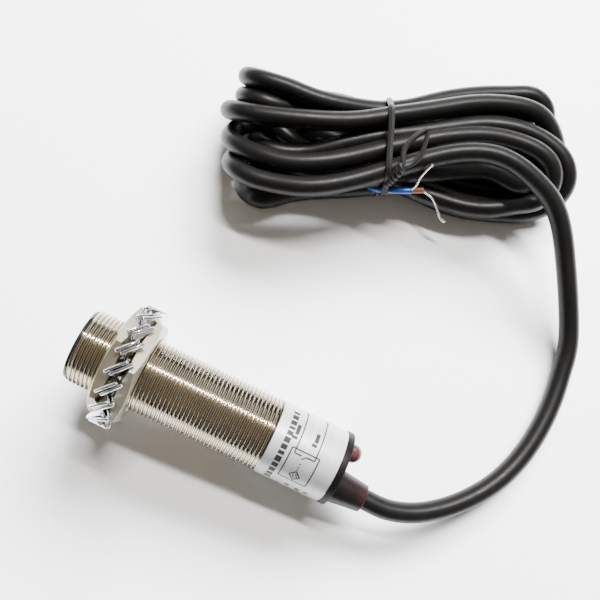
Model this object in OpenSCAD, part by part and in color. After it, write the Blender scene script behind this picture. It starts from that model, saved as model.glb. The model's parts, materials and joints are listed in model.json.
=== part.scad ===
/* [Threaded barrel] */
// Major diameter of the barrel's thread
thread_d = 18; // [18]
// Pitch of the barrel's thread
pitch = 1; // [1]
// Front of the metal barrel, behind the lens rim
barrel_front = 0.6; // [0.5:0.1:0.8]
// Where the thread ends and the label starts
thread_end = 48.6; // [46:0.2:50]
// Back of the metal barrel
barrel_back = 65.4; // [64:0.2:66]
// Radius of the barrel's bore
bore_r = 7.6; // [7.4:0.1:7.8]

/* [Nuts and washers] */
// Size across the flats of each nut
nut_flats = 24; // [24]
// Thickness of each nut
nut_t = 3; // [2.8:0.1:3]
// Front face of the front nut
front_nut_at = 7.8; // [7.6:0.1:8]
// Gap between the nuts, which holds the washers
washer_gap = 2.5; // [2.4:0.1:2.7]
// Outer diameter of each toothed washer
washer_d = 30; // [30]
// Thickness of the washers' sheet
washer_t = 0.9; // [0.8:0.05:0.9]
// Number of teeth on each washer
teeth = 18; // [16:1:18]
// Twist of each tooth's tip
tooth_twist = 40; // [35:1:42]

/* [Rear end] */
// Thickness of the rear cap's flange
flange_t = 1.6; // [1.4:0.1:1.8]
// Radius of the rear cap's flange
flange_r = 9.05; // [9:0.01:9.1]
// Length of the cable boss behind the cap
boss_len = 8.4; // [8:0.1:9]
// How far the indicator dome stands proud of the cap
dome_h = 4; // [3.6:0.1:4.2]

/* [Cable] */
// Diameter of the cable
cable_d = 5; // [4.8:0.1:5]
// Height of the wound hank
hank_h = 21.5; // [21:0.5:24]
// Width of the hank across its round ends
hank_w = 39; // [38:0.5:40]

/* [Hidden] */

$fn = 72;
eps = 0.02;
thread_r = thread_d / 2;
chamfer = 0.5;
label_seat_r = 8.82;
label_t = 0.08;
lens_r = 8.6;
plug_r = bore_r - 0.1;

// Distances along the barrel's own axis, from the front of the lens
clamp_end = 7.1;
valley_w = 0.6;
valley_r = 8.6;
nut_bore_r = thread_r + 0.05;
nut_corner_r = nut_flats / 2 / cos(30);
washer_side_gap = 0.15;
front_washer_at = front_nut_at + nut_t + washer_side_gap;
rear_nut_at = front_nut_at + nut_t + washer_gap;
rear_washer_at = rear_nut_at - washer_side_gap - washer_t;
washer_r = washer_d / 2;
washer_bore_r = 9.3;
washer_web_r = 11.4;
tooth_tip_from = nut_corner_r + 0.16;
cap_back = barrel_back + flange_t;
boss_end = cap_back + boss_len;

// Angles about the axis of the pieces that aren't round
front_nut_turn = 13;
rear_nut_turn = 34;
tooth_turn = 4.6;

// Off-centre places on the rear cap
dome_y = 4.7;
dome_r = 2.3;
boss_y = -3.8;
boss_r = 4.2;
boss_end_r = 3.3;
trimmer_x = 4.4;
trimmer_y = 2;
trimmer_hole_r = 1.7;
trimmer_pocket_r = 1.64;
rotor_r = 1.55;
rotor_stem_r = 1.2;

// The barrel lies on the washers' teeth in front and on the cap's flange behind
tooth_reach = 0.9;
rest_front = rear_washer_at + washer_t / 2 + tooth_reach;
tilt = atan((washer_r - flange_r) / (cap_back - rest_front));
axis_h = washer_r * cos(tilt) + rest_front * sin(tilt);
low_x = -lens_r * sin(tilt);
high_x = boss_end * cos(tilt) + boss_end_r * sin(tilt);
mid_x = (low_x + high_x) / 2;

// The hank lies behind the barrel, with its tie at its own origin
hank_at = [6.4, 79.9, 0];
hank_turn = 23.7;
hank_left = [-24.3, 1.6];
hank_right = [30.6, -3.6];

// The cable's way from the boss to the hank's side
run_route = [[37.8, -3.8, 8.1], [44, -3.7, 7.4], [50.5, -1.6, 6.4], [56.5, 2.3, 5.4],
             [62, 7.6, 4.4], [66.6, 14, 3.6], [69.8, 21.4, 3], [71.6, 29.4, 2.7],
             [72.2, 37.6, 2.6], [71.6, 45.8, 2.6], [70, 53.8, 2.9], [67, 59.7, 5],
             [64, 64.4, 7.2], [61, 69.1, 9.5], [57.8, 73.6, 11.8], [54.2, 77.8, 14]];

// Thin pieces on the hank, in the hank's own frame
tie_end_a = [[-1, -13.1, 15.5], [0.2, -12.6, 18.2], [1, -12, 20.2], [2, -10.6, 22],
             [2, -8.5, 22.4], [2.4, -6.6, 22.8], [4.6, -4, 23.5], [7.2, -2.2, 24]];
tie_end_b = [[7.8, -4.4, 23.5], [7, -5.9, 23], [6.1, -8.4, 22.2], [4.4, -10.4, 21.4]];
blue_route = [[-4.2, -11, 7.6], [-2.6, -12.6, 10], [1, -13.3, 11.6], [5.6, -13.3, 12]];
brown_route = [[-4, -10.6, 6.4], [-1.5, -11.9, 8.4], [2, -12.5, 9.8], [9.2, -12.5, 10.7]];
wire_a = [[5.6, -13.3, 12], [7.3, -11.2, 16.2], [9.4, -9.5, 20.4]];
wire_b = [[9.2, -12.5, 10.7], [11.3, -14.1, 10.2], [13, -16.6, 9], [15.4, -19.4, 6.8]];
core_r = 0.85;
wire_r = 0.4;
tie_r = 0.8;

// Puts a child drawn along +Z from the front of the lens on the tilted axis
module on_axis()
    translate([-mid_x, 0, axis_h]) rotate([0, 90 + tilt, 0]) children();

module in_hank() translate(hank_at) rotate([0, 0, hank_turn]) children();

// A straight-sided rod or ring along the axis, from a to b
module rod(r, a, b) translate([0, 0, a]) cylinder(r = r, h = b - a);
module ring(r_out, r_in, a, b) difference() {
    rod(r_out, a, b);
    rod(r_in, a - 1, b + 1);
}

// A tube along a route: one ring of points at each of the route's points
function unit(v) = v / norm(v);
function heading(p, i) = unit(p[min(i + 1, len(p) - 1)] - p[max(i - 1, 0)]);
function tube_point(p, i, r, a) =
    let (t = heading(p, i), side = unit(cross(t, [0, 0, 1])), up = cross(side, t))
    p[i] + r * cos(a) * side + r * sin(a) * up;

module tube(route, r, sides) {
    last = (len(route) - 1) * sides;
    polyhedron(
        points = [for (i = [0 : len(route) - 1], k = [0 : sides - 1])
                  tube_point(route, i, r, k * 360 / sides)],
        faces = concat(
            [[for (k = [0 : sides - 1]) k]],
            [for (i = [0 : len(route) - 2], k = [0 : sides - 1])
             let (a = i * sides, n = (k + 1) % sides)
             [a + k, a + sides + k, a + sides + n, a + n]],
            [[for (k = [sides - 1 : -1 : 0]) last + k]]));
}

// Hex nut with its corners turned off to a cone on both faces
module hex_nut(at, turn) {
    corner_cut = 0.7;
    face_r = nut_flats / 2 - 0.1;
    cone_r = nut_corner_r + 0.4;
    cone_h = corner_cut * (cone_r - face_r) / (nut_corner_r - face_r);
    difference() {
        intersection() {
            translate([0, 0, at]) rotate([0, 0, turn]) cylinder(r = nut_corner_r, h = nut_t, $fn = 6);
            translate([0, 0, at]) rotate_extrude() polygon([
                [0, 0], [face_r, 0], [cone_r, cone_h],
                [cone_r, nut_t - cone_h], [face_r, nut_t], [0, nut_t]]);
        }
        rod(nut_bore_r, at - 1, at + nut_t + 1);
    }
}

// Lock washer with external teeth, whose tips are twisted out of its plane. Each tip
// starts where its tooth ends, so that two washers nest without a tip in a tooth.
module tooth_washer(at) {
    mid = at + washer_t / 2;
    tooth_w = 3.2;
    tip_w = 5;
    tip_t = 0.8;
    tooth_root = 0.5;
    tip_reach = tip_w / 2 * cos(tooth_twist) + tip_t / 2 * sin(tooth_twist);
    tip_end = sqrt(washer_r * washer_r - tip_reach * tip_reach);
    translate([0, 0, at]) linear_extrude(washer_t) difference() {
        union() {
            circle(r = washer_web_r);
            for (k = [0 : teeth - 1]) rotate(tooth_turn + k * 360 / teeth)
                translate([washer_web_r - tooth_root, -tooth_w / 2])
                    square([tooth_tip_from - washer_web_r + tooth_root, tooth_w]);
        }
        circle(r = washer_bore_r);
    }
    for (k = [0 : teeth - 1]) rotate([0, 0, tooth_turn + k * 360 / teeth])
        translate([tooth_tip_from, 0, mid]) rotate([-tooth_twist, 0, 0])
            translate([0, -tip_w / 2, -tip_t / 2]) cube([tip_end - tooth_tip_from, tip_w, tip_t]);
}

module barrel() color("silver") on_axis() difference() {
    union() {
        translate([0, 0, barrel_front])
            cylinder(r1 = thread_r - chamfer, r2 = thread_r, h = chamfer);
        rod(thread_r, barrel_front + chamfer, clamp_end);
        rod(valley_r, clamp_end, clamp_end + valley_w);
        rod(thread_r, clamp_end + valley_w, thread_end);
        rod(label_seat_r, thread_end, barrel_back);
    }
    rod(bore_r, 0, barrel_back + 1);
}

module front_lens() color([0.08, 0.07, 0.08]) on_axis() difference() {
    union() {
        rod(lens_r, 0, barrel_front);
        rod(plug_r, barrel_front, 2.7);
    }
    ring(plug_r + 1, 6.8, 1.5, 2.3);
}

module lens_seal() color([0.1, 0.1, 0.1]) on_axis()
    translate([0, 0, 1.9]) rotate_extrude() translate([7.2, 0]) circle(r = 0.36, $fn = 24);

module optics_holder() color([0.12, 0.12, 0.13]) on_axis() difference() {
    rod(plug_r, 2.8, 13);
    for (y = [-3.7, 3.7]) translate([0, y, 0]) rod(2.9, 2, 14);
    translate([-7, -0.45, 2]) cube([14, 0.9, 9]);
}

module optics_baffle() color([0.2, 0.2, 0.2]) on_axis()
    translate([-6.5, -0.4, 2.9]) cube([13, 0.8, 7.9]);

// A round-nosed lamp with its skirt and two legs
module lamp(y) translate([0, y, 0]) {
    rod(2.8, 11.6, 12.8);
    rod(2.5, 7.6, 11.7);
    translate([0, 0, 7.6]) sphere(r = 2.5, $fn = 48);
    for (x = [-1.27, 1.27]) translate([x - 0.25, -0.25, 12.7]) cube([0.5, 0.5, 2.2]);
}

module emitter() color([0.35, 0.4, 0.75]) on_axis() lamp(3.7);
module receiver() color([0.15, 0.1, 0.15]) on_axis() lamp(-3.7);

board_from = 15;
board_to = 59;
board_t = 1.2;
module circuit_board() color([0.1, 0.35, 0.2]) on_axis()
    translate([-board_t / 2, -6.6, board_from]) cube([board_t, 13.2, board_to - board_from]);

// Parts stand on the board's upper face (-X) or its lower face (+X)
module control_chip() color([0.1, 0.1, 0.1]) on_axis() {
    translate([-2.4, -2, 18]) cube([1.6, 4, 9]);
    for (k = [0 : 3], s = [-1, 1])
        translate([-1.4, s * 2.7 - 0.75, 19 + k * 2.2]) cube([0.8, 1.5, 0.5]);
}

module bridge_rectifier() color([0.14, 0.14, 0.15]) on_axis()
    translate([board_t / 2, -3.2, 32]) cube([2.6, 6.4, 8]);

module thyristor() color([0.12, 0.12, 0.13]) on_axis() {
    translate([board_t / 2, -2.3, 20]) cube([3.2, 4.6, 4.2]);
    for (y = [-1.27, 0, 1.27])
        translate([board_t / 2, y - 0.2, 24.1]) cube([0.5, 0.4, 3]);
}

module capacitor() color([0.3, 0.35, 0.5]) on_axis()
    translate([-board_t / 2 - 2.6, 0, 0]) rod(2.5, 31, 41);

module resistors() color([0.75, 0.65, 0.45]) on_axis()
    for (k = [0 : 3]) translate([board_t / 2 + 0.9, -3.9 + 2.6 * k, 0]) rod(0.85, 50.6, 54.6);

module trimmer_body() color([0.15, 0.3, 0.7]) on_axis() difference() {
    translate([board_t / 2, -0.2, 56]) cube([5.6, 4.4, 4.6]);
    translate([trimmer_x, trimmer_y, 0]) rod(trimmer_pocket_r, 58.4, 61);
}

module trimmer_rotor() color([0.85, 0.7, 0.35]) on_axis()
    translate([trimmer_x, trimmer_y, 0]) difference() {
        union() {
            rod(rotor_r, 58.5, 61.4);
            rod(rotor_stem_r, 61.3, 66.2);
        }
        translate([-0.25, -2, 65.4]) cube([0.5, 4, 1]);
    }

module indicator_led() color([0.8, 0.2, 0.2]) on_axis() {
    translate([0, dome_y, 0]) rod(1.45, 61.2, 64.2);
    translate([0, dome_y, 64.2]) sphere(r = 1.45, $fn = 36);
    for (y = [-0.6, 0.6]) translate([-0.2, dome_y + y - 0.2, 59.1]) cube([0.4, 0.4, 2.2]);
}

// The window over the lamp: a stub through the cap, with a round top
module indicator_dome() color([0.35, 0.06, 0.08]) on_axis() translate([0, dome_y, 0]) {
    rod(dome_r, 66.2, cap_back + dome_h - dome_r + eps);
    translate([0, 0, cap_back + dome_h - dome_r]) intersection() {
        sphere(r = dome_r, $fn = 48);
        rod(dome_r + 1, 0, dome_r + 1);
    }
}

module potting() color([0.1, 0.12, 0.1]) on_axis() difference() {
    rod(plug_r, 43, 49.8);
    translate([-board_t / 2 - 0.02, -6.62, 42]) cube([board_t + 0.04, 13.24, 9]);
}

module cap_seal() color([0.1, 0.1, 0.1]) on_axis()
    translate([0, 0, 62.6]) rotate_extrude() translate([7.2, 0]) circle(r = 0.36, $fn = 24);

module rear_cap() color([0.12, 0.03, 0.04]) on_axis() difference() {
    union() {
        rod(flange_r, barrel_back, cap_back);
        difference() {
            ring(plug_r, 6.4, 61.4, barrel_back + eps);
            ring(plug_r + 1, 6.8, 62.2, 63);
        }
    }
    translate([0, boss_y, 0]) rod(boss_r, barrel_back, cap_back + 1);
    translate([0, dome_y, 0]) rod(1.7, 64, cap_back + 1);
    translate([0, dome_y, 0]) rod(dome_r, 66.2, cap_back + 1);
    translate([trimmer_x, trimmer_y, 0]) rod(trimmer_hole_r, 64, cap_back + 1);
}

module cable_boss() color([0.15, 0.04, 0.05]) on_axis() translate([0, boss_y, 0]) difference() {
    union() {
        rod(boss_r, barrel_back, cap_back);
        translate([0, 0, cap_back]) cylinder(r1 = boss_r, r2 = boss_end_r, h = boss_len);
    }
    rod(cable_d / 2, 64, boss_end + 1);
}

module cable_root() color([0.06, 0.06, 0.06]) on_axis() translate([0, boss_y, 0])
    rod(cable_d / 2, 62.5, boss_end);

module core_tails() on_axis() {
    color([0.1, 0.3, 0.8]) translate([1.6, boss_y - 1.2, 0]) rod(core_r, 55.6, 62.5);
    color([0.4, 0.2, 0.1]) translate([-1.6, boss_y - 1.2, 0]) rod(core_r, 55.6, 62.5);
}

module label_sleeve() color([0.88, 0.89, 0.9]) on_axis()
    ring(label_seat_r + label_t, label_seat_r, thread_end + 0.2, barrel_back - 0.1);

module front_nut() color([0.78, 0.75, 0.7]) on_axis() hex_nut(front_nut_at, 90 + front_nut_turn);
module rear_nut() color([0.78, 0.75, 0.7]) on_axis() hex_nut(rear_nut_at, 90 + rear_nut_turn);
module front_washer() color([0.85, 0.86, 0.88]) on_axis() tooth_washer(front_washer_at);
module rear_washer() color([0.85, 0.86, 0.88]) on_axis() tooth_washer(rear_washer_at);

module cable_run() color([0.06, 0.06, 0.06]) tube(run_route, cable_d / 2, 10);

module cable_hank() color([0.08, 0.08, 0.08]) in_hank() linear_extrude(hank_h) {
    span = hank_right - hank_left;
    translate(hank_left) circle(r = hank_w / 2);
    translate(hank_right) circle(r = hank_w / 2);
    translate(hank_left) rotate(atan2(span[1], span[0]))
        translate([0, -hank_w / 2]) square([norm(span), hank_w]);
}

// The tie goes once round the hank's waist, with its round corners as quarter rings
tie_low_v = -14.6;
tie_high_v = 13.2;
tie_top = 20.2;
tie_corner = 5;
tie_w = 1.7;
module tie_outline(inset) {
    r = tie_corner - inset;
    for (v = [tie_low_v + tie_corner, tie_high_v - tie_corner], z = [0.2 + tie_corner, tie_top - tie_corner])
        translate([v, z]) circle(r = r);
    translate([tie_low_v + tie_corner, 0.2 + inset])
        square([tie_high_v - tie_low_v - 2 * tie_corner, tie_top - 0.2 - 2 * inset]);
    translate([tie_low_v + inset, 0.2 + tie_corner])
        square([tie_high_v - tie_low_v - 2 * inset, tie_top - 0.2 - 2 * tie_corner]);
}

module hank_tie() color([0.1, 0.1, 0.1]) in_hank()
    translate([-tie_w / 2, 0, 0]) rotate([90, 0, 90]) linear_extrude(tie_w) difference() {
        tie_outline(0);
        tie_outline(0.9);
    }

module tie_ends() color([0.1, 0.1, 0.1]) in_hank() {
    tube(tie_end_a, tie_r, 8);
    tube(tie_end_b, tie_r, 8);
}

module blue_core() color([0.1, 0.3, 0.8]) in_hank() tube(blue_route, core_r, 8);
module brown_core() color([0.5, 0.25, 0.12]) in_hank() tube(brown_route, core_r, 8);
module bare_wires() color([0.8, 0.78, 0.75]) in_hank() {
    tube(wire_a, wire_r, 8);
    tube(wire_b, wire_r, 8);
}

barrel();
front_lens();
lens_seal();
optics_holder();
optics_baffle();
emitter();
receiver();
circuit_board();
control_chip();
bridge_rectifier();
thyristor();
capacitor();
resistors();
trimmer_body();
trimmer_rotor();
indicator_led();
indicator_dome();
potting();
cap_seal();
rear_cap();
cable_boss();
cable_root();
core_tails();
label_sleeve();
front_nut();
front_washer();
rear_washer();
rear_nut();
cable_run();
cable_hank();
hank_tie();
tie_ends();
blue_core();
brown_core();
bare_wires();
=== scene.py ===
import json
from math import cos, pi, radians, sin, sqrt, tau

import bmesh
import bpy
import numpy as np
from mathutils import Matrix, Vector, noise


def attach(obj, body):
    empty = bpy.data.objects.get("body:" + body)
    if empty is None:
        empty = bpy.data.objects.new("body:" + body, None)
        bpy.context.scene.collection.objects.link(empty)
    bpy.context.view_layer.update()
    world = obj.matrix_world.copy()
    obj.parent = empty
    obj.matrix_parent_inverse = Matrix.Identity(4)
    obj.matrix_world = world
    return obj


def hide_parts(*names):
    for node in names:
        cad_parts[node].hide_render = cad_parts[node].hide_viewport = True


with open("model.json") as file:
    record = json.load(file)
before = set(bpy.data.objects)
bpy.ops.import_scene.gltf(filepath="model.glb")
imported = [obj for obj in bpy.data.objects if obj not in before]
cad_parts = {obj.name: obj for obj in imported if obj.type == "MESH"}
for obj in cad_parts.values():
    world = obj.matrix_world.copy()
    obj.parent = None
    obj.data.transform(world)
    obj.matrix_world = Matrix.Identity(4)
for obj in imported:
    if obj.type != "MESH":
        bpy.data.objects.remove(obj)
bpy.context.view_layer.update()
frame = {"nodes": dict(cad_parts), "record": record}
print("frame loaded:", len(frame["nodes"]), "nodes")

mm = 0.001
nodes = frame["nodes"]
mounts = {m["name"]: m for m in frame["record"]["mounts"]}


# the sensor's own frame: z runs from the sensing face to the cable, x is down, y is the table's +Y
faceCentre = Vector(mounts["sensing_face"]["pos_m"])
along = -Vector(mounts["sensing_face"]["axis"]).normalized()
sideways = Vector((0, 1, 0))
down = sideways.cross(along)
sensorFrame = Matrix.Translation(faceCentre) @ Matrix((down, sideways, along)).transposed().to_4x4()

# the hank's own frame: x runs along the hank, y across it, z up
hankSpot = {"centre": (6.4, 79.9, 0.0), "turn": 23.7}
hankFrame = (Matrix.Translation(Vector(hankSpot["centre"]) * mm)
             @ Matrix.Rotation(radians(hankSpot["turn"]), 4, "Z"))


camera = {"spot": (13.2, 0.63, 179.8), "right": (0.902, 0.4307, 0.0313),
          "up": (-0.4284, 0.8832, 0.1907), "lens": 42.0}


def makeCamera():
    data = bpy.data.cameras.new("camera")
    data.lens, data.sensor_width = camera["lens"], 36.0
    data.clip_start, data.clip_end = 0.01, 10.0
    cam = bpy.data.objects.new("camera", data)
    bpy.context.scene.collection.objects.link(cam)
    right = Vector(camera["right"]).normalized()
    up = Vector(camera["up"])
    up = (up - right * up.dot(right)).normalized()
    turn = Matrix((right, up, right.cross(up))).transposed().to_4x4()
    cam.matrix_world = Matrix.Translation(Vector(camera["spot"]) * mm) @ turn
    bpy.context.scene.camera = cam


makeCamera()


# Everything here is in millimetres. The free run is in the table's frame, as in the part's source.
# Each turn of the hank is in the hank's frame: its upper strand runs from the right end to the left
# end, its fold turns down at the left, and its lower strand runs back. "bend" leads to the next turn.
cable = {
    "width": 5.0, "step": 2.0, "tightest": 7.5,
    "tie": (-12.7, 12.0, 19.6),
    "run": [(37.8, -3.8, 8.1), (44, -3.7, 7.4), (50.5, -1.6, 6.4), (56.5, 2.3, 5.4), (62, 7.6, 4.4),
            (66.6, 14, 3.6), (69.8, 21.4, 3), (71.6, 29.4, 2.7), (72.2, 37.6, 2.6), (71.6, 45.8, 2.9),
            (70, 53.8, 4.2)],
    "turns": [
        {"name": "free end's turn",
         "upper": [(44.1, -24.8, 12.5), (42.4, -19.9, 14.5), (40.2, -15.6, 16), (35.6, -11.4, 17.5),
                   (31.6, -8.3, 18.3), (27.3, -6.1, 18.7), (23.2, -5.2, 18.7), (17.5, -5.2, 18.3),
                   (12.7, -5.9, 17.8), (4.5, -8.2, 17), (-0.4, -9.8, 16.4), (-11.8, -13.5, 16.5),
                   (-20, -15.2, 16.8), (-28.2, -14.3, 16)],
         "fold": [(-35.9, -11.5, 14), (-39.9, -7.5, 10.5), (-39, -2.5, 6), (-34, -1.5, 3)],
         "lower": [(-24, -3, 2.6), (-12, -4.4, 3.2), (0, -5.6, 7.2), (6.5, -10.8, 7), (13.5, -13.2, 7),
                   (18.7, -15, 7), (23.9, -15.5, 7), (30, -15.4, 7), (38, -12.2, 7.5)],
         "shows": True, "bend": [(41.8, -11.6, 9)]},
        {"name": "second turn",
         "upper": [(42.6, -8.2, 11.2), (41.3, -4.6, 12.6), (38.6, -1.9, 13.4), (35.2, -0.4, 13.8),
                   (30.8, 0.7, 14), (24.7, 1.4, 14.5), (13.4, 0.2, 15), (4.9, -2.2, 15.5),
                   (-0.2, -3.5, 15.5), (-12, -7.6, 17), (-20.2, -9.2, 17.5), (-28.4, -8.8, 17)],
         "fold": [(-36.9, -5.1, 15), (-40.6, -0.6, 11), (-39.5, 4.2, 6.5), (-34, 5, 4)],
         "lower": [(-24, 3, 3.5), (-12, -1, 2.6), (0, -6, 2.5), (3.7, -8.3, 2.5), (10.9, -10.8, 2.5),
                   (16.3, -13.4, 2.5), (21.6, -14.6, 2.5), (31.5, -15.1, 2.5), (40, -14.5, 3.5)],
         "shows": True, "bend": [(46, -11.2, 6), (47.2, -8.5, 9)]},
        {"name": "widest turn",
         "upper": [(46.2, -4.9, 10.8), (44.6, -1.6, 11.4), (41, 1, 11.8), (35.9, 3.5, 12),
                   (31.6, 4.9, 12), (25.5, 5.5, 12), (14.2, 3.7, 12), (5.4, 2, 12.5), (0.3, 1.4, 12.3),
                   (-11.6, -1.5, 12), (-20.1, -3.9, 11), (-26, -3.7, 10.5)],
         "fold": [(-31, -2.6, 10), (-34.8, 1.2, 8.5), (-34, 3.8, 5), (-29, 3.5, 2.6)],
         "lower": [(-20, 2, 2.6), (-10, 0.6, 5), (0, -0.4, 6.9), (10, -3.4, 5.5), (20, -6, 2.6),
                   (28, -7, 2.6), (36, -8, 2.6), (43, -6.5, 2.6)],
         "shows": False, "bend": [(46.5, -2, 3.5), (45.5, 4, 6)]},
        {"name": "upper turn",
         "upper": [(43, 7.4, 8.8), (38.5, 9.8, 10.5), (31.7, 11, 12), (25.3, 10.9, 13), (19.1, 9.9, 13.5),
                   (13.7, 8.5, 14), (4.9, 6.1, 15), (-0.2, 4.9, 15.5), (-7.9, 3.2, 16),
                   (-16.3, 2.3, 17), (-24.7, 2.3, 17.5), (-33, 3.1, 17)],
         "fold": [(-38.5, 4.4, 16), (-41, 7, 11), (-39.5, 9.5, 5.5), (-34, 10, 2.6)],
         "lower": [(-24, 8, 2.6), (-12, 4, 2.6), (0, -0.8, 2.5), (12, -2, 2.6), (24, -4, 2.6),
                   (32, -4, 2.6), (37, 0, 2.6)],
         "shows": False, "bend": [(39.5, 4, 4.5), (37.5, 7.5, 6.5)]},
        {"name": "inner turn",
         "upper": [(33, 9, 7), (24, 10, 7.2), (14, 8, 7.2), (5, 6, 7.2), (0, 5.4, 7.2), (-10, 7, 7.5),
                   (-20.3, 8.4, 10), (-29.2, 8.6, 13)],
         "fold": [(-34, 9.6, 13.5), (-38.5, 11.8, 9), (-34.5, 14.5, 3.5), (-29, 13, 2.6)],
         "lower": [(-20, 10, 2.6), (-10, 7, 2.6), (0, 4.2, 2.5), (12, 5, 2.6), (24, 6, 2.6),
                   (34, 5, 2.6), (41, 6, 3)],
         "shows": False, "bend": [(45.5, 9.5, 3.5), (45, 12, 5)]},
        {"name": "far turn",
         "upper": [(41.8, 14.1, 6.5), (36.2, 16, 7), (30.6, 16.5, 7.5), (24.2, 15.7, 8),
                   (14.9, 13.5, 9), (5.8, 10, 10.5), (0.5, 8.8, 11), (-5.8, 8.4, 12), (-12, 8.5, 13.5),
                   (-20.6, 9.4, 15), (-29.2, 12.2, 15)],
         "fold": [(-35, 14.8, 14), (-38, 17, 10), (-36, 18, 6), (-29, 15.8, 5)],
         "lower": [(-20, 12.2, 4), (-10, 9.8, 3), (0, 8.6, 2.8), (10, 10, 2.8), (20, 11, 2.8),
                   (28, 9, 2.8), (35, 2, 2.8)],
         "shows": False, "bend": [(39.5, -5, 4), (39.5, -8, 7)]},
        {"name": "last turn, which ends at the tie",
         "upper": [(36.4, -9, 9.5), (31.9, -7.2, 10), (25.8, -6.5, 10), (14.5, -7.5, 10.5),
                   (5.9, -8.8, 11), (0.7, -9.4, 11.6), (-7, -10.4, 11.4), (-15.5, -12, 10.4),
                   (-24, -12, 11), (-28.2, -11, 12)],
         "fold": [(-34, -11.2, 11.6), (-38.3, -11.8, 8), (-36.8, -12.2, 4), (-31, -12.8, 2.6)],
         "lower": [(-23.9, -11.5, 2.6), (-15.1, -10.8, 3.5), (-8, -10.4, 4.8), (-2.5, -10.4, 6.2)],
         "shows": True, "bend": []},
    ],
}
# how firmly each stretch keeps to its drawn place while the turns settle against each other
holds = {"run": 1.0, "upper": 1.0, "fold": 0.6, "lower": 0.12, "shownLower": 0.9, "bend": 0.25}


def drawnRoute():
    toHank = hankFrame.inverted()
    points = [tuple(toHank @ (Vector(p) * mm) / mm) for p in cable["run"]]
    firm = [holds["run"]] * len(points)
    for turn in cable["turns"]:
        for part in ("upper", "fold", "lower", "bend"):
            points += turn[part]
            name = "shownLower" if part == "lower" and turn["shows"] else part
            firm += [holds[name]] * len(turn[part])
    return np.array(points, float), np.array(firm)


def evenRoute(points, firm, step):
    # a centripetal curve through the points, cut into even steps
    ends = np.vstack([2 * points[0] - points[1], points, 2 * points[-1] - points[-2]])
    dense, denseFirm = [], []
    for i in range(1, len(points)):
        p0, p1, p2, p3 = ends[i - 1:i + 3]
        t1 = np.linalg.norm(p1 - p0) ** 0.5
        t2 = t1 + np.linalg.norm(p2 - p1) ** 0.5
        t3 = t2 + np.linalg.norm(p3 - p2) ** 0.5
        t = np.linspace(t1, t2, 24, endpoint=False)[:, None]
        a1 = (t1 - t) / t1 * p0 + t / t1 * p1
        a2 = (t2 - t) / (t2 - t1) * p1 + (t - t1) / (t2 - t1) * p2
        a3 = (t3 - t) / (t3 - t2) * p2 + (t - t2) / (t3 - t2) * p3
        b1 = (t2 - t) / t2 * a1 + t / t2 * a2
        b2 = (t3 - t) / (t3 - t1) * a2 + (t - t1) / (t3 - t1) * a3
        dense.append((t2 - t) / (t2 - t1) * b1 + (t - t1) / (t2 - t1) * b2)
        denseFirm += [firm[i - 1]] * 24
    dense = np.vstack(dense + [points[-1:]])
    denseFirm = np.array(denseFirm + [firm[-1]])
    run = np.concatenate([[0], np.cumsum(np.linalg.norm(np.diff(dense, axis=0), axis=1))])
    count = int(round(run[-1] / step))
    marks = np.linspace(0, run[-1], count + 1)
    even = np.stack([np.interp(marks, run, dense[:, k]) for k in range(3)], 1)
    evenFirm = np.interp(marks, run, denseFirm)
    evenFirm = np.convolve(np.pad(evenFirm, 4, mode="edge"), np.ones(9) / 9, mode="valid")
    return even, evenFirm, run[-1] / count


def settleCable(rounds=600):
    # the turns push each other apart, keep their length and a bend they can take, and lie on the table
    points, firm = drawnRoute()
    p, firm, step = evenRoute(points, firm, cable["step"])
    wide, r = cable["width"], cable["width"] / 2
    start, index = p.copy(), np.arange(len(p))
    free = np.where(start[:, 1] < -30, 0.0, 1.0)
    atTie = start[:, 1] > -22
    nearTie, farTie, tieTop = cable["tie"]
    skip = int(1.9 * wide / step)
    for turn in range(rounds):
        if turn % 8 == 0:
            gap = np.sqrt(((p[:, None] - p[None]) ** 2).sum(-1))
            one, two = np.where((gap < wide + 2.2) & (index[None] - index[:, None] > skip))
        stiff = np.zeros_like(p)
        stiff[2:-2] = p[:-4] - 4 * p[1:-3] + 6 * p[2:-2] - 4 * p[3:-1] + p[4:]
        p -= 0.035 * stiff * free[:, None]
        for reach in (2, 4):
            sag = (reach * step) ** 2 / (2 * cable["tightest"])
            off = p[reach:-reach] - (p[:-2 * reach] + p[2 * reach:]) / 2
            size = np.linalg.norm(off, axis=1)
            fix = off / np.maximum(size, 1e-6)[:, None] * (np.clip(size - sag, 0, None) * 0.225)[:, None]
            p[reach:-reach] -= fix * free[reach:-reach, None]
            p[:-2 * reach] += fix * 0.5 * free[:-2 * reach, None]
            p[2 * reach:] += fix * 0.5 * free[2 * reach:, None]
        pull = 0.05 if turn < rounds * 0.6 else 0.0175
        p += pull * (start - p) * (free * firm)[:, None]
        for again in range(2):
            apart = p[one] - p[two]
            size = np.sqrt((apart ** 2).sum(1))
            short = np.clip(wide + 0.02 - size, 0, None)
            hit = short > 0
            push = apart[hit] / size[hit][:, None] * (short[hit] * 0.225)[:, None]
            np.add.at(p, one[hit], push * free[one[hit]][:, None])
            np.add.at(p, two[hit], -push * free[two[hit]][:, None])
        for again in range(2):
            for first in (0, 1):
                a, b = p[first:-1:2], p[first + 1::2]
                n = min(len(a), len(b))
                link = b[:n] - a[:n]
                fix = link * (1 - step / np.linalg.norm(link, axis=1)[:, None]) * 0.5
                freeA, freeB = free[first:-1:2][:n, None], free[first + 1::2][:n, None]
                p[first:-1:2][:n] += fix * freeA
                p[first + 1::2][:n] -= fix * freeB
        p[:, 2] = np.maximum(p[:, 2], r)
        waist = (np.abs(p[:, 0]) < 2.0) & atTie
        p[waist, 1] = np.clip(p[waist, 1], nearTie + r, farTie - r)
        p[waist, 2] = np.minimum(p[waist, 2], tieTop - r)
    return p


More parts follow.
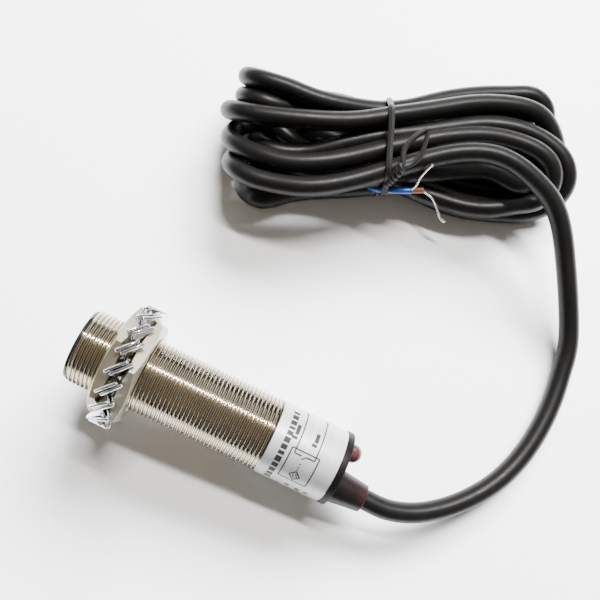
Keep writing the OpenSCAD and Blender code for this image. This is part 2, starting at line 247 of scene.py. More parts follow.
def makeCable():
    local = settleCable()
    world = [hankFrame @ (Vector(q) * mm) for q in local]
    world[0] = Vector(cable["run"][0]) * mm
    data = bpy.data.curves.new("cable", "CURVE")
    data.dimensions = "3D"
    data.bevel_depth = cable["width"] / 2 * mm
    data.bevel_resolution = 5
    data.use_fill_caps = True
    spline = data.splines.new("NURBS")
    spline.points.add(len(world) - 1)
    for point, spot in zip(spline.points, world):
        point.co = (*spot, 1.0)
    spline.order_u, spline.resolution_u, spline.use_endpoint_u = 4, 2, True
    obj = bpy.data.objects.new("cable", data)
    bpy.context.scene.collection.objects.link(obj)
    length = sum((a - b).length for a, b in zip(world, world[1:]))
    print("cable laid: %.3f m" % length)
    return obj, local, length


cableObject, cableLocal, cableLength = makeCable()


def newMaterial(name):
    mat = bpy.data.materials.new(name)
    mat.use_nodes = True
    tree = mat.node_tree
    return mat, tree, tree.nodes["Principled BSDF"]


def addNode(tree, kind, **settings):
    node = tree.nodes.new(kind)
    for key, value in settings.items():
        if key in node.inputs:
            node.inputs[key].default_value = value
        else:
            setattr(node, key, value)
    return node


def linkNodes(tree, source, target):
    tree.links.new(source, target)


def objectCoords(tree):
    return addNode(tree, "ShaderNodeTexCoord").outputs["Object"]


def addRamp(tree, source, stops):
    ramp = addNode(tree, "ShaderNodeValToRGB")
    while len(ramp.color_ramp.elements) < len(stops):
        ramp.color_ramp.elements.new(0.5)
    for element, (spot, colour) in zip(ramp.color_ramp.elements, stops):
        element.position = spot
        element.color = (*colour, 1.0) if len(colour) == 3 else colour
    linkNodes(tree, source, ramp.inputs["Fac"])
    return ramp.outputs["Color"]


def greys(*stops):
    return [(spot, (value,) * 3) for spot, value in stops]


def spread(tree, source, low, high):
    span = addNode(tree, "ShaderNodeMapRange")
    span.inputs["From Min"].default_value, span.inputs["From Max"].default_value = low, high
    linkNodes(tree, source, span.inputs["Value"])
    return span.outputs["Result"]


def addNoise(tree, coords, scale, detail=3.0, stretch=None):
    if stretch:
        mapping = addNode(tree, "ShaderNodeMapping")
        mapping.inputs["Scale"].default_value = stretch
        linkNodes(tree, coords, mapping.inputs["Vector"])
        coords = mapping.outputs["Vector"]
    tex = addNode(tree, "ShaderNodeTexNoise", Scale=scale, Detail=detail)
    linkNodes(tree, coords, tex.inputs["Vector"])
    return tex.outputs["Fac"]


def addBump(tree, shader, height, strength, distance):
    bump = addNode(tree, "ShaderNodeBump", Strength=strength, Distance=distance)
    linkNodes(tree, height, bump.inputs["Height"])
    linkNodes(tree, bump.outputs["Normal"], shader.inputs["Normal"])
    return bump


def plated(name, bright, dull, rough, grain=0.25, patch=160, distance=0.00002):
    # a plated metal: slow patches of tone, fine grain in the gloss
    mat, tree, shader = newMaterial(name)
    coords = objectCoords(tree)
    patches = addNoise(tree, coords, patch, 4.0)
    linkNodes(tree, addRamp(tree, patches, [(0.3, dull), (0.72, bright)]), shader.inputs["Base Color"])
    fine = addNoise(tree, coords, 2600, 2.0)
    gloss = addRamp(tree, fine, greys((0.25, rough * 0.8), (0.8, rough * 1.25)))
    linkNodes(tree, gloss, shader.inputs["Roughness"])
    addBump(tree, shader, fine, grain, distance)
    shader.inputs["Metallic"].default_value = 1.0
    return mat


def moulded(name, colour, shade, rough, coat=0.0, through=0.0, grain=0.12, scale=1500, specular=0.5):
    # a moulded plastic or rubber: two close tones and a fine skin
    mat, tree, shader = newMaterial(name)
    coords = objectCoords(tree)
    tone = addNoise(tree, coords, 90, 3.0)
    linkNodes(tree, addRamp(tree, tone, [(0.3, shade), (0.7, colour)]), shader.inputs["Base Color"])
    fine = addNoise(tree, coords, scale, 3.0)
    gloss = addRamp(tree, fine, greys((0.3, rough * 0.85), (0.75, rough * 1.15)))
    linkNodes(tree, gloss, shader.inputs["Roughness"])
    addBump(tree, shader, fine, grain, 0.00003)
    shader.inputs["Coat Weight"].default_value = coat
    shader.inputs["Coat Roughness"].default_value = 0.12
    shader.inputs["Transmission Weight"].default_value = through
    shader.inputs["Specular IOR Level"].default_value = specular
    return mat


def makeMaterials():
    m = {}
    m["nickel_brass"] = plated("turned nickel", (0.84, 0.78, 0.67), (0.75, 0.68, 0.57), 0.1, grain=0.12)
    # painted shade: the thread's flanks get a darker, browner base colour for the shade in its grooves; their
    # rougher gloss is the metal's own
    m["thread_flank"] = plated("thread flank with painted groove shade", (0.5, 0.445, 0.35), (0.38, 0.33, 0.255), 0.22)
    m["nut_nickel"] = plated("tumbled nickel", (0.60, 0.55, 0.44), (0.53, 0.485, 0.385), 0.42,
                             grain=0.5, patch=240)
    m["zinc_steel"] = plated("bright zinc", (0.92, 0.93, 0.95), (0.82, 0.84, 0.87), 0.15, grain=0.1, patch=400)
    m["trimmer_brass"] = plated("trimmer brass", (0.83, 0.64, 0.32), (0.68, 0.5, 0.22), 0.28)
    m["tinned_copper"] = plated("tinned strands", (0.86, 0.84, 0.82), (0.66, 0.6, 0.56), 0.25, patch=900)
    m["can_metal"] = plated("capacitor can", (0.25, 0.3, 0.5), (0.16, 0.2, 0.38), 0.35)
    m["cap_plastic"] = moulded("dark red cap", (0.0045, 0.003, 0.003), (0.003, 0.0022, 0.0022), 0.45,
                               specular=0.2)
    m["dome_plastic"] = moulded("see-through red", (0.07, 0.02, 0.022), (0.045, 0.014, 0.016), 0.1,
                                coat=0.6, through=0.3, grain=0.03)
    m["lens_plastic"] = moulded("black window", (0.010, 0.008, 0.010), (0.007, 0.006, 0.007), 0.16,
                                coat=0.3, grain=0.03)
    m["holder_plastic"] = moulded("matt holder", (0.03, 0.03, 0.033), (0.02, 0.02, 0.022), 0.6)
    m["lamp_resin"] = moulded("tinted resin", (0.3, 0.32, 0.55), (0.22, 0.25, 0.45), 0.08,
                              coat=0.5, through=0.6, grain=0.02)
    m["receiver_resin"] = moulded("filter resin", (0.05, 0.03, 0.05), (0.03, 0.02, 0.03), 0.1,
                                  coat=0.5, grain=0.02)
    m["board_laminate"] = moulded("board laminate", (0.03, 0.16, 0.07), (0.02, 0.11, 0.05), 0.35, coat=0.4)
    m["chip_black"] = moulded("moulded chip", (0.03, 0.03, 0.032), (0.02, 0.02, 0.022), 0.55)
    m["resistor_paint"] = moulded("resistor lacquer", (0.6, 0.48, 0.3), (0.5, 0.38, 0.22), 0.4)
    m["trimmer_blue"] = moulded("trimmer case", (0.03, 0.12, 0.5), (0.02, 0.08, 0.4), 0.35)
    m["potting_resin"] = moulded("potting", (0.04, 0.042, 0.036), (0.025, 0.027, 0.024), 0.3, coat=0.3)
    m["seal_rubber"] = moulded("seal rubber", (0.02, 0.02, 0.02), (0.012, 0.012, 0.012), 0.6)
    m["tie_plastic"] = moulded("tie plastic", (0.012, 0.0115, 0.011), (0.007, 0.0068, 0.0066), 0.4,
                               grain=0.3, scale=900, specular=0.28)
    m["core_blue"] = moulded("blue core", (0.015, 0.11, 0.42), (0.01, 0.07, 0.32), 0.3, coat=0.25)
    m["core_brown"] = moulded("brown core", (0.30, 0.10, 0.035), (0.22, 0.07, 0.022), 0.35, coat=0.2)
    m["cable_jacket"] = moulded("cable jacket", (0.0045, 0.0042, 0.004), (0.003, 0.0028, 0.0027), 0.4,
                                grain=0.15, scale=700, specular=0.27)
    m["label_foil"] = labelFoil()
    m["label_ink"] = moulded("label ink", (0.02, 0.02, 0.022), (0.014, 0.014, 0.015), 0.45)
    return m


def labelFoil():
    # satin silver film: a pale grey that still takes a soft metal shine, brushed round the barrel
    mat, tree, shader = newMaterial("silver film")
    coords = objectCoords(tree)
    lines = addNoise(tree, coords, 900, 2.0, stretch=(1.0, 0.05, 0.05))
    tone = addRamp(tree, lines, [(0.3, (0.50, 0.505, 0.515)), (0.7, (0.58, 0.585, 0.595))])
    linkNodes(tree, tone, shader.inputs["Base Color"])
    linkNodes(tree, addRamp(tree, lines, greys((0.2, 0.36), (0.8, 0.46))), shader.inputs["Roughness"])
    addBump(tree, shader, lines, 0.15, 0.00001)
    shader.inputs["Metallic"].default_value = 0.55
    return mat


materials = makeMaterials()
print("materials made:", len(materials))


def finishPiece(obj, body, slotName, material, *replaced, sharp=32):
    mesh = obj.data
    if obj.type == "MESH":
        work = bmesh.new()
        work.from_mesh(mesh)
        bmesh.ops.remove_doubles(work, verts=work.verts, dist=1e-7)
        bmesh.ops.recalc_face_normals(work, faces=work.faces)
        for face in work.faces:
            face.smooth = True
        for edge in work.edges:
            if len(edge.link_faces) == 2 and edge.calc_face_angle(0.0) > radians(sharp):
                edge.smooth = False
        work.to_mesh(mesh)
        work.free()
    mesh.materials.clear()
    mesh.materials.append(materials[material])
    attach(obj, body)
    if replaced:
        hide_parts(*replaced)
    return obj


def meshObject(name, points, faces, place=None):
    # points are in millimetres in the frame "place"
    mesh = bpy.data.meshes.new(name)
    spots = [Vector(p) * mm for p in points]
    if place is not None:
        spots = [place @ p for p in spots]
    mesh.from_pydata([tuple(p) for p in spots], [], [tuple(f) for f in faces])
    mesh.update()
    obj = bpy.data.objects.new(name, mesh)
    bpy.context.scene.collection.objects.link(obj)
    return obj


def easeCorners(outline, ease, cuts=4):
    # rounds every corner of an outline of (distance along, radius) points, except those on the axis
    eased = []
    n = len(outline)
    closed = outline[0][1] > 1e-6
    for i, point in enumerate(outline):
        here = Vector(point)
        if not closed and i in (0, n - 1) or here.y < 1e-6:
            eased.append(tuple(here))
            continue
        before, after = Vector(outline[i - 1]), Vector(outline[(i + 1) % n])
        reach = min(ease, (before - here).length * 0.45, (after - here).length * 0.45)
        a = here + (before - here).normalized() * reach
        b = here + (after - here).normalized() * reach
        for k in range(cuts + 1):
            t = k / cuts
            eased.append(tuple(a * (1 - t) ** 2 + here * 2 * t * (1 - t) + b * t * t))
    return eased


def turnedPoints(outline, steps=96, centre=(0.0, 0.0)):
    # spins an outline of (distance along, radius) round an axis; one that starts off the axis is a ring
    points, faces, rings = [], [], []
    for s, r in outline:
        if r < 1e-6:
            rings.append([len(points)])
            points.append((centre[0], centre[1], s))
        else:
            rings.append(list(range(len(points), len(points) + steps)))
            points += [(centre[0] + r * cos(tau * k / steps), centre[1] + r * sin(tau * k / steps), s)
                       for k in range(steps)]
    pairs = list(zip(rings, rings[1:]))
    if outline[0][1] > 1e-6:
        pairs.append((rings[-1], rings[0]))
    for a, b in pairs:
        for k in range(steps):
            n = (k + 1) % steps
            if len(a) == 1:
                faces.append((a[0], b[n], b[k]))
            elif len(b) == 1:
                faces.append((a[k], a[n], b[0]))
            else:
                faces.append((a[k], a[n], b[n], b[k]))
    return points, faces


def turned(name, outline, ease=0.0, steps=96, centre=(0.0, 0.0), place=None):
    points, faces = turnedPoints(easeCorners(outline, ease) if ease else outline, steps, centre)
    return meshObject(name, points, faces, place or sensorFrame)


def sweptPoints(route, section, closed=False, twist=0.0):
    # carries a section of (side, up) points along a route without spinning it, apart from "twist"
    route = [Vector(p) for p in route]
    n, m = len(route), len(section)
    headings = []
    for i in range(n):
        a = route[(i - 1) % n] if closed else route[max(i - 1, 0)]
        b = route[(i + 1) % n] if closed else route[min(i + 1, n - 1)]
        headings.append((b - a).normalized())
    side = headings[0].cross(Vector((0, 0, 1)))
    if side.length < 0.1:
        side = headings[0].cross(Vector((1, 0, 0)))
    side.normalize()
    points, faces = [], []
    for i, (spot, heading) in enumerate(zip(route, headings)):
        side = (side - heading * side.dot(heading)).normalized()
        up = heading.cross(side)
        turn = twist * i / max(n - 1, 1)
        for a, b in section:
            c, d = a * cos(turn) - b * sin(turn), a * sin(turn) + b * cos(turn)
            points.append(tuple(spot + side * c + up * d))
    for i in range(n if closed else n - 1):
        for k in range(m):
            a, b = i * m, ((i + 1) % n) * m
            faces.append((a + k, a + (k + 1) % m, b + (k + 1) % m, b + k))
    if not closed:
        faces.append(tuple(range(m - 1, -1, -1)))
        faces.append(tuple(range((n - 1) * m, n * m)))
    return points, faces


def roundSection(radius, count=14):
    return [(radius * cos(tau * k / count), radius * sin(tau * k / count)) for k in range(count)]


def smoothRoute(points, cuts=8):
    firm = np.ones(len(points))
    gaps = np.linalg.norm(np.diff(np.array(points, float), axis=0), axis=1)
    even, _, _ = evenRoute(np.array(points, float), firm, gaps.mean() / cuts)
    return [tuple(p) for p in even]


def joinShells(shells):
    points, faces = [], []
    for shellPoints, shellFaces in shells:
        base = len(points)
        points += shellPoints
        faces += [tuple(base + k for k in face) for face in shellFaces]
    return points, faces


def keepNode(node, material):
    for holder in nodes[node].material_slots:
        holder.material = materials[material]


barrel = {"front": 0.6, "threadEnd": 48.6, "back": 65.4, "bore": 7.6, "labelSeat": 8.82, "pitch": 1.0,
          "steps": 120, "flank": (8.42, 8.965),
          "ridge": [(0.0, 8.385), (0.09, 8.4), (0.16, 8.47), (0.25, 8.65), (0.34, 8.84), (0.42, 8.965),
                    (0.5, 9.0), (0.58, 8.965), (0.66, 8.84), (0.75, 8.65), (0.84, 8.47), (0.91, 8.4)]}


def threadLimit(s):
    # the ridges fade into a chamfer in front and a narrow run-out behind
    front = 8.36 + (s - barrel["front"]) * 1.15
    back = 8.36 + (barrel["threadEnd"] - s) * 1.6
    return max(8.36, min(9.0, front, back))


def makeBarrel():
    steps, pitch, ridge = barrel["steps"], barrel["pitch"], barrel["ridge"]
    first, last = barrel["front"], barrel["threadEnd"]
    perTurn = len(ridge)
    rows = int((last - first) / pitch + 2) * perTurn
    points, faces = [], []

    def spotAt(row, k):
        whole = row // perTurn
        s = first - pitch + (whole + ridge[row % perTurn][0]) * pitch + pitch * k / steps
        s = min(max(s, first), last)
        r = min(ridge[row % perTurn][1], threadLimit(s))
        angle = tau * k / steps
        return (r * cos(angle), r * sin(angle), s)

    for row in range(rows + 1):
        points += [spotAt(row, k) for k in range(steps)]
    for row in range(rows):
        for k in range(steps):
            a, b = row * steps + k, (row + 1) * steps + k
            if k < steps - 1:
                faces.append((a, a + 1, b + 1, b))
            elif row + perTurn < rows:  # the last column meets the first one a pitch further on
                c, d = (row + perTurn) * steps, (row + perTurn + 1) * steps
                faces.append((a, c, d, b))
    # both ends of the thread gather into plain rings; the smooth rear and the bore close the tube
    rear = [(last, 8.36), (last, barrel["labelSeat"] - 0.06), (last + 0.06, barrel["labelSeat"]),
            (barrel["back"], barrel["labelSeat"]), (barrel["back"], barrel["bore"]),
            (first, barrel["bore"]), (first, 8.36)]
    rings = []
    for s, r in rear:
        rings.append(len(points))
        points += [(r * cos(tau * k / steps), r * sin(tau * k / steps), s) for k in range(steps)]
    for a, b in zip(rings, rings[1:]):
        for k in range(steps):
            n = (k + 1) % steps
            faces.append((a + k, a + n, b + n, b + k))
    obj = meshObject("barrel_thread", points, faces, sensorFrame)
    work = bmesh.new()
    work.from_mesh(obj.data)
    bmesh.ops.remove_doubles(work, verts=work.verts, dist=2e-6)
    bmesh.ops.dissolve_degenerate(work, dist=1e-6, edges=work.edges)
    loose = [f for f in work.faces if f.calc_area() < 1e-13]
    bmesh.ops.delete(work, geom=loose, context="FACES_ONLY")
    bmesh.ops.remove_doubles(work, verts=work.verts, dist=2e-6)
    work.to_mesh(obj.data)
    work.free()
    finishPiece(obj, "root", "nickel_brass", "nickel_brass", "barrel", sharp=60)
    # faces on the thread's flanks take the darker material, a painted shade in the grooves
    obj.data.materials.append(materials["thread_flank"])
    toSensor = sensorFrame.inverted()
    for face in obj.data.polygons:
        spot = toSensor @ face.center / mm
        if spot.z < last and barrel["flank"][0] < Vector((spot.x, spot.y)).length < barrel["flank"][1]:
            face.material_index = 1
    return obj


makeBarrel()


nut = {"flats": 24.0, "thick": 3.0, "bore": 9.05, "cornerCut": 0.75, "face": 11.85, "sink": 0.45,
       "frontAt": 7.8, "rearAt": 13.3, "frontTurn": 13.0, "rearTurn": 34.0}


def makeNut(name, body, at, turn, node):
    perSide, half, thick = 14, nut["flats"] / 2, nut["thick"]
    corner = half / cos(radians(30))
    slope = nut["cornerCut"] / (corner - nut["face"])
    rings = [[] for _ in range(12)]
    for side in range(6):
        for k in range(perSide):
            t = -30 + 60 * k / perSide
            reach = half / cos(radians(t))
            angle = radians(90 + turn + 30 + 60 * side + t)
            cut = max(0.0, (reach - nut["face"]) * slope)
            flat = min(nut["face"], reach) - 0.12
            profile = [(nut["bore"], nut["sink"]), (nut["bore"] + nut["sink"], 0.0), (flat - 0.6, 0.0),
                       (flat, 0.02), (flat + 0.12, 0.1), (reach, cut + 0.1), (reach, thick - cut - 0.1),
                       (flat + 0.12, thick - 0.1), (flat, thick - 0.02), (flat - 0.6, thick),
                       (nut["bore"] + nut["sink"], thick), (nut["bore"], thick - nut["sink"])]
            for ring, (r, z) in zip(rings, profile):
                ring.append((r * cos(angle), r * sin(angle), at + z))
    points = [p for ring in rings for p in ring]
    n = 6 * perSide
    faces = []
    for i in range(12):
        a, b = i * n, ((i + 1) % 12) * n
        for k in range(n):
            m = (k + 1) % n
            faces.append((a + k, a + m, b + m, b + k))
    obj = meshObject(name, points, faces, sensorFrame)
    finishPiece(obj, body, "nut_nickel", "nut_nickel", node, sharp=28)
    bevel = obj.modifiers.new("edges", "BEVEL")
    bevel.width, bevel.segments, bevel.limit_method, bevel.angle_limit = 0.1 * mm, 2, "ANGLE", radians(28)
    bevel.harden_normals = True
    return obj


makeNut("front_hex_nut", "front_nut", nut["frontAt"], nut["frontTurn"], "front_nut")
makeNut("rear_hex_nut", "rear_nut", nut["rearAt"], nut["rearTurn"], "rear_nut")


washer = {"thick": 0.9, "bore": 9.3, "web": 11.5, "tip": 14.98, "teeth": 18, "twist": 40.0,
          "firstTooth": 4.6, "frontAt": 10.95, "rearAt": 12.25, "rootWidth": 3.0, "tipWidth": 5.5,
          "twistFrom": 11.4, "twistTo": 14.0, "widensFrom": 11.2, "widensOver": 2.6, "ease": 0.24}
toothCorners = ((1, -1, (90, 45, 0)), (1, 1, (0, 45, 90)), (-1, 1, (90, 45, 0)), (-1, -1, (0, 45, 90)))


def makeWasher(name, body, at, node):
    mid, thick = at + washer["thick"] / 2, washer["thick"]
    shells = [turnedPoints(easeCorners([(at, washer["bore"]), (at, washer["web"]),
                                        (at + thick, washer["web"]), (at + thick, washer["bore"])], 0.12), 120)]
    stations, ease = 16, washer["ease"]
    for tooth in range(washer["teeth"]):
        turn = radians(180 + washer["firstTooth"] + 360 * tooth / washer["teeth"])
        jitter = noise.random_vector()
        points, faces = [], []
        for i in range(stations + 1):
            t = i / stations
            r = washer["web"] - 0.9 + (washer["tip"] - washer["web"] + 0.9) * t
            rise = min(max((r - washer["twistFrom"]) / (washer["twistTo"] - washer["twistFrom"]), 0), 1) ** 0.8
            share = 0.4 * rise + 0.6 * rise * rise * (3 - 2 * rise)
            angle = -radians(washer["twist"] + 2.0 * jitter.x) * share
            spreadOut = min(1, max(0, (r - washer["widensFrom"]) / washer["widensOver"]))
            width = washer["rootWidth"] + (washer["tipWidth"] - washer["rootWidth"]) * spreadOut
            high = (0.86 if r > washer["web"] - 0.4 else 0.8) - 0.1 * rise
            a, b = width / 2, high / 2
            outline = [(sx * (a - ease + ease * cos(radians(q))), sz * (b - ease + ease * sin(radians(q))))
                       for sx, sz, turns in toothCorners for q in turns]
            if i == stations:
                outline = [(x * 0.94, y * 0.35) for x, y in outline]
            for x, y in outline:
                side, level = x * cos(angle) - y * sin(angle), x * sin(angle) + y * cos(angle)
                reach = sqrt(max(r * r - side * side, 1.0)) if r > 14 else r
                points.append((reach * cos(turn) - side * sin(turn),
                               reach * sin(turn) + side * cos(turn), mid + level))
        m = 12
        for i in range(stations):
            for k in range(m):
                faces.append((i * m + k, i * m + (k + 1) % m, (i + 1) * m + (k + 1) % m, (i + 1) * m + k))
        faces.append(tuple(range(m - 1, -1, -1)))
        faces.append(tuple(range(stations * m, (stations + 1) * m)))
        shells.append((points, faces))
    obj = meshObject(name, *joinShells(shells), sensorFrame)
    return finishPiece(obj, body, "zinc_steel", "zinc_steel", node, sharp=70)


noise.seed_set(7)
makeWasher("front_tooth_washer", "front_washer", washer["frontAt"], "front_washer")
makeWasher("rear_tooth_washer", "rear_washer", washer["rearAt"], "rear_washer")
print("barrel, nuts and washers made")


window = {"radius": 8.55, "rim": 0.6, "plug": 7.5}
dome = {"y": 4.7, "radius": 2.3, "height": 4.0, "seat": 66.25}
cap = {"front": 65.4, "back": 67.0, "radius": 9.05, "plug": 7.5, "inner": 6.4,
       "holes": [(60, 70, 1.7, (4.4, 2.0), 48), (66.2, 70, 2.42, (0, dome["y"]), 64),
                 (60, 66.3, 1.7, (0, dome["y"]), 48)]}
# the last entry gives the stretch along the boss where the painted glow of light through its thin end is laid
boss = {"y": -3.8, "front": 65.5, "wide": 4.2, "narrow": 3.3, "length": 8.4, "bore": 2.52,
        "glowSpan": (68.5, 76.0)}


def makeWindow():
    outline = [(0.0, 0.0), (0.02, 5.0), (0.1, 7.4), (0.16, 7.55), (0.16, 7.75), (0.0, 7.9), (0.0, 8.3),
               (0.12, 8.5), (window["rim"], window["radius"]), (window["rim"] + 0.02, window["plug"]),
               (1.5, window["plug"]), (1.5, 6.85),
               (2.3, 6.85), (2.3, window["plug"]), (2.7, window["plug"]), (2.7, 0.0)]
    obj = turned("front_window", outline, ease=0.05)
    return finishPiece(obj, "root", "lens_plastic", "lens_plastic", "front_lens", sharp=40)


def makeCap():
    back, front = cap["back"], cap["front"]
    outline = [(front, 0.0), (front, cap["inner"]), (61.4, cap["inner"]), (61.4, cap["plug"]),
               (62.2, cap["plug"]), (62.2, 6.85), (63.0, 6.85),
               (63.0, cap["plug"]), (front, cap["plug"]), (front, cap["radius"]), (back, cap["radius"]),
               (back, 8.1), (back - 0.25, 7.95), (back - 0.25, 0.0)]
    obj = turned("rear_cap_disc", outline, ease=0.14)
    # holes: the trimmer's, the dome's seat, and the one that the lamp shines through
    cutters = [turned("hole", [(a, 0), (a, r), (b, r), (b, 0)], centre=centre, steps=steps)
               for a, b, r, centre, steps in cap["holes"]]
    for cutter in cutters:
        cut = obj.modifiers.new("hole", "BOOLEAN")
        cut.operation, cut.object, cut.solver = "DIFFERENCE", cutter, "EXACT"
    bpy.context.view_layer.update()
    carved = bpy.data.meshes.new_from_object(obj.evaluated_get(bpy.context.evaluated_depsgraph_get()))
    obj.modifiers.clear()
    obj.data = carved
    for cutter in cutters:
        bpy.data.objects.remove(cutter)
    return finishPiece(obj, "root", "cap_plastic", "cap_plastic", "rear_cap", sharp=35)


def makeBoss():
    back = cap["back"]
    end = back + boss["length"]
    outline = [(boss["front"], boss["bore"]), (boss["front"], boss["wide"]), (back + 0.4, boss["wide"]),
               (end, boss["narrow"]), (end, boss["bore"])]
    obj = turned("cable_strain_relief", outline, ease=0.28, steps=64, centre=(0, boss["y"]))
    return finishPiece(obj, "root", "cap_plastic", "boss_plastic", "cable_boss", sharp=50)


def makeDome():
    top = cap["back"] + dome["height"]
    start = top - dome["radius"]
    outline = [(dome["seat"], 0.0), (dome["seat"], dome["radius"])]
    outline += [(start + dome["radius"] * sin(radians(a)), dome["radius"] * cos(radians(a)))
                for a in range(0, 90, 6)]
    outline += [(top, 0.0)]
    obj = turned("indicator_window", outline, steps=64, centre=(0, dome["y"]))
    return finishPiece(obj, "root", "dome_plastic", "dome_plastic", "indicator_dome", sharp=50)


def bossPlastic():
    # the same dark red as the cap, with a painted glow towards the thin end where light gets through: the base
    # colour warms along the boss
    mat, tree, shader = newMaterial("dark red strain relief with painted glow")
    coords = objectCoords(tree)
    split = addNode(tree, "ShaderNodeSeparateXYZ")
    linkNodes(tree, coords, split.inputs["Vector"])
    low, high = [(sensorFrame @ Vector((0, 0, s * mm))).x for s in boss["glowSpan"]]
    # painted glow: the colour warms from the cap's dark red to a glowing red-brown at the thin end
    warm = addRamp(tree, spread(tree, split.outputs["X"], low, high),
                   [(0.0, (0.004, 0.003, 0.003)), (0.6, (0.006, 0.0035, 0.0035)),
                    (1.0, (0.015, 0.006, 0.0055))])
    linkNodes(tree, warm, shader.inputs["Base Color"])
    fine = addNoise(tree, coords, 1300, 3.0)
    linkNodes(tree, addRamp(tree, fine, greys((0.3, 0.3), (0.75, 0.42))), shader.inputs["Roughness"])
    addBump(tree, shader, fine, 0.15, 0.00003)
    shader.inputs["Specular IOR Level"].default_value = 0.28
    shader.inputs["Subsurface Weight"].default_value = 0.08
    shader.inputs["Subsurface Radius"].default_value = (0.004, 0.001, 0.001)
    shader.inputs["Subsurface Scale"].default_value = 0.3
    return mat


materials["boss_plastic"] = bossPlastic()
makeWindow()
makeCap()
makeBoss()
makeDome()


label = {"from": 48.75, "to": 65.3, "radius": 8.9, "inner": 8.83, "lift": 0.02, "lineWidth": 0.32}


def makeLabel():
    outline = [(label["from"], label["inner"]), (label["from"], label["radius"]),
               (label["to"], label["radius"]), (label["to"], label["inner"])]
    obj = turned("label_film", outline, ease=0.03, steps=144)
    return finishPiece(obj, "root", "label_foil", "label_foil", "label_sleeve", sharp=50)


def printedStroke(a, b, width):
    # a flat bar of ink from a to b, each a place (along, round from the top), wrapped on the label
    (s0, t0), (s1, t1) = a, b
    length = sqrt((s1 - s0) ** 2 + (t1 - t0) ** 2)
    nx, ny = -(t1 - t0) / length * width / 2, (s1 - s0) / length * width / 2
    cuts = max(1, int(abs(t1 - t0) / 0.4))
    points, faces = [], []
    for i in range(cuts + 1):
        k = i / cuts
        for side in (-1, 1):
            s, t = s0 + (s1 - s0) * k + nx * side, t0 + (t1 - t0) * k + ny * side
            for r in (label["radius"] - 0.02, label["radius"] + label["lift"]):
                angle = pi - t / label["radius"]
                points.append((r * cos(angle), r * sin(angle), s))
    for i in range(cuts):
        a, b = i * 4, i * 4 + 4
        faces += [(a + 1, a + 3, b + 3, b + 1), (a, b, b + 2, a + 2), (a, a + 1, b + 1, b),
                  (a + 2, b + 2, b + 3, a + 3)]
    e = cuts * 4
    faces += [(0, 2, 3, 1), (e, e + 1, e + 3, e + 2)]
    return points, faces


def makeLabelPrint():
    strokes = []

    def line(*spots, width=label["lineWidth"]):
        for a, b in zip(spots, spots[1:]):
            strokes.append(printedStroke(a, b, width))

    # outline of a plain two-wire switch drawing
    line((53.8, 0.0), (60.6, 0.0), (60.6, -7.9), (53.8, -7.9), (53.8, 0.08))
    line((54.7, -1.0), (54.7, 9.9))
    line((59.7, -0.9), (59.7, 9.9))
    line((54.7, -1.0), (56.5, -1.0))
    line((59.7, -0.9), (57.6, -0.9), (56.8, -1.8))
    for t in (-2.7, -3.5, -4.2):
        line((57.1, t), (57.1, t - 0.4))
    line((57.2, -4.9), (58.5, -6.2), (57.2, -7.5), (55.9, -6.2), (57.2, -4.85))
    line((56.7, -5.9), (57.2, -6.9))
    line((57.3, -5.5), (57.8, -6.5))
    for s in (54.7, 59.7):
        line((s - 0.4, 10.2), (s + 0.4, 10.2), width=0.6)
        line((s - 0.15, 11.0), (s + 0.15, 11.6), width=0.45)
    # plain bars stand where words would be
    t = -11.4
    for length in (1.5, 1.1, 1.3, 1.2, 1.5, 0.9, 1.2, 1.3, 1.1, 0.7, 1.2, 1.3, 1.0):
        line((52.0, t), (52.0, t + length), width=1.5)
        t += length + 0.42
    for s, t0, t1 in ((53.35, 1.7, 5.4), (58.2, 1.9, 5.3)):
        line((s, t0), (s, t0 + 0.8), width=1.3)
        line((s + 0.15, t0 + 1.1), (s + 0.15, t1), width=0.95)
    for s, t0, t1 in ((57.0, -10.2, -11.3), (59.6, -10.2, -11.9), (61.8, -10.1, -11.2), (55.2, -12.4, -16.0),
                      (58.0, -12.8, -17.5), (60.5, -12.6, -15.0)):
        line((s, t0), (s, t1), width=1.1)
    obj = meshObject("label_drawing", *joinShells(strokes), sensorFrame)
    return finishPiece(obj, "root", "label_foil", "label_ink", sharp=30)


makeLabel()
makeLabelPrint()
print("window, cap, boss, dome and label made")


tie = {"thick": 0.9, "wide": 1.6, "lift": 0.45, "u": -0.5, "lean": 0.045}
ends = {
    "twist": [(-1.0, -13.0, 15.5), (0.2, -12.6, 18.2), (1.0, -12.0, 20.2), (2.0, -10.7, 21.9)],
    "loop": [(2.0, -10.7, 21.9), (1.9, -8.7, 22.4), (2.3, -6.7, 22.8), (4.4, -4.1, 23.5), (7.3, -2.1, 24.0)],
    "tail": [(2.0, -10.9, 21.7), (3.9, -10.2, 21.6), (6.0, -8.4, 22.2), (7.0, -5.8, 23.0), (7.7, -3.0, 23.8)],
    "radius": 0.6}
cores = {
    "blue": [(-4.2, -11.0, 7.6), (-2.6, -12.6, 10.0), (1.0, -13.3, 11.6), (3.4, -13.4, 12), (5.8, -13.3, 12)],
    "brown": [(-4.0, -10.6, 6.4), (-1.5, -11.9, 8.4), (2.0, -12.5, 9.8), (5.6, -12.6, 10.4),
              (9.2, -12.5, 10.7)],
    "blueWire": [(5.4, -13.3, 12.0), (6.6, -12.7, 13.8), (7.3, -11.4, 16.2), (8.4, -10.3, 18.5),
                 (9.5, -9.5, 20.4)],
    "brownWire": [(8.8, -12.5, 10.7), (10.0, -13.3, 10.6), (11.3, -14.1, 10.2), (13.0, -16.6, 9.0),
                  (14.0, -18.6, 7.8), (15.4, -19.5, 6.8)],
    "radius": 0.85, "wireRadius": 0.34}


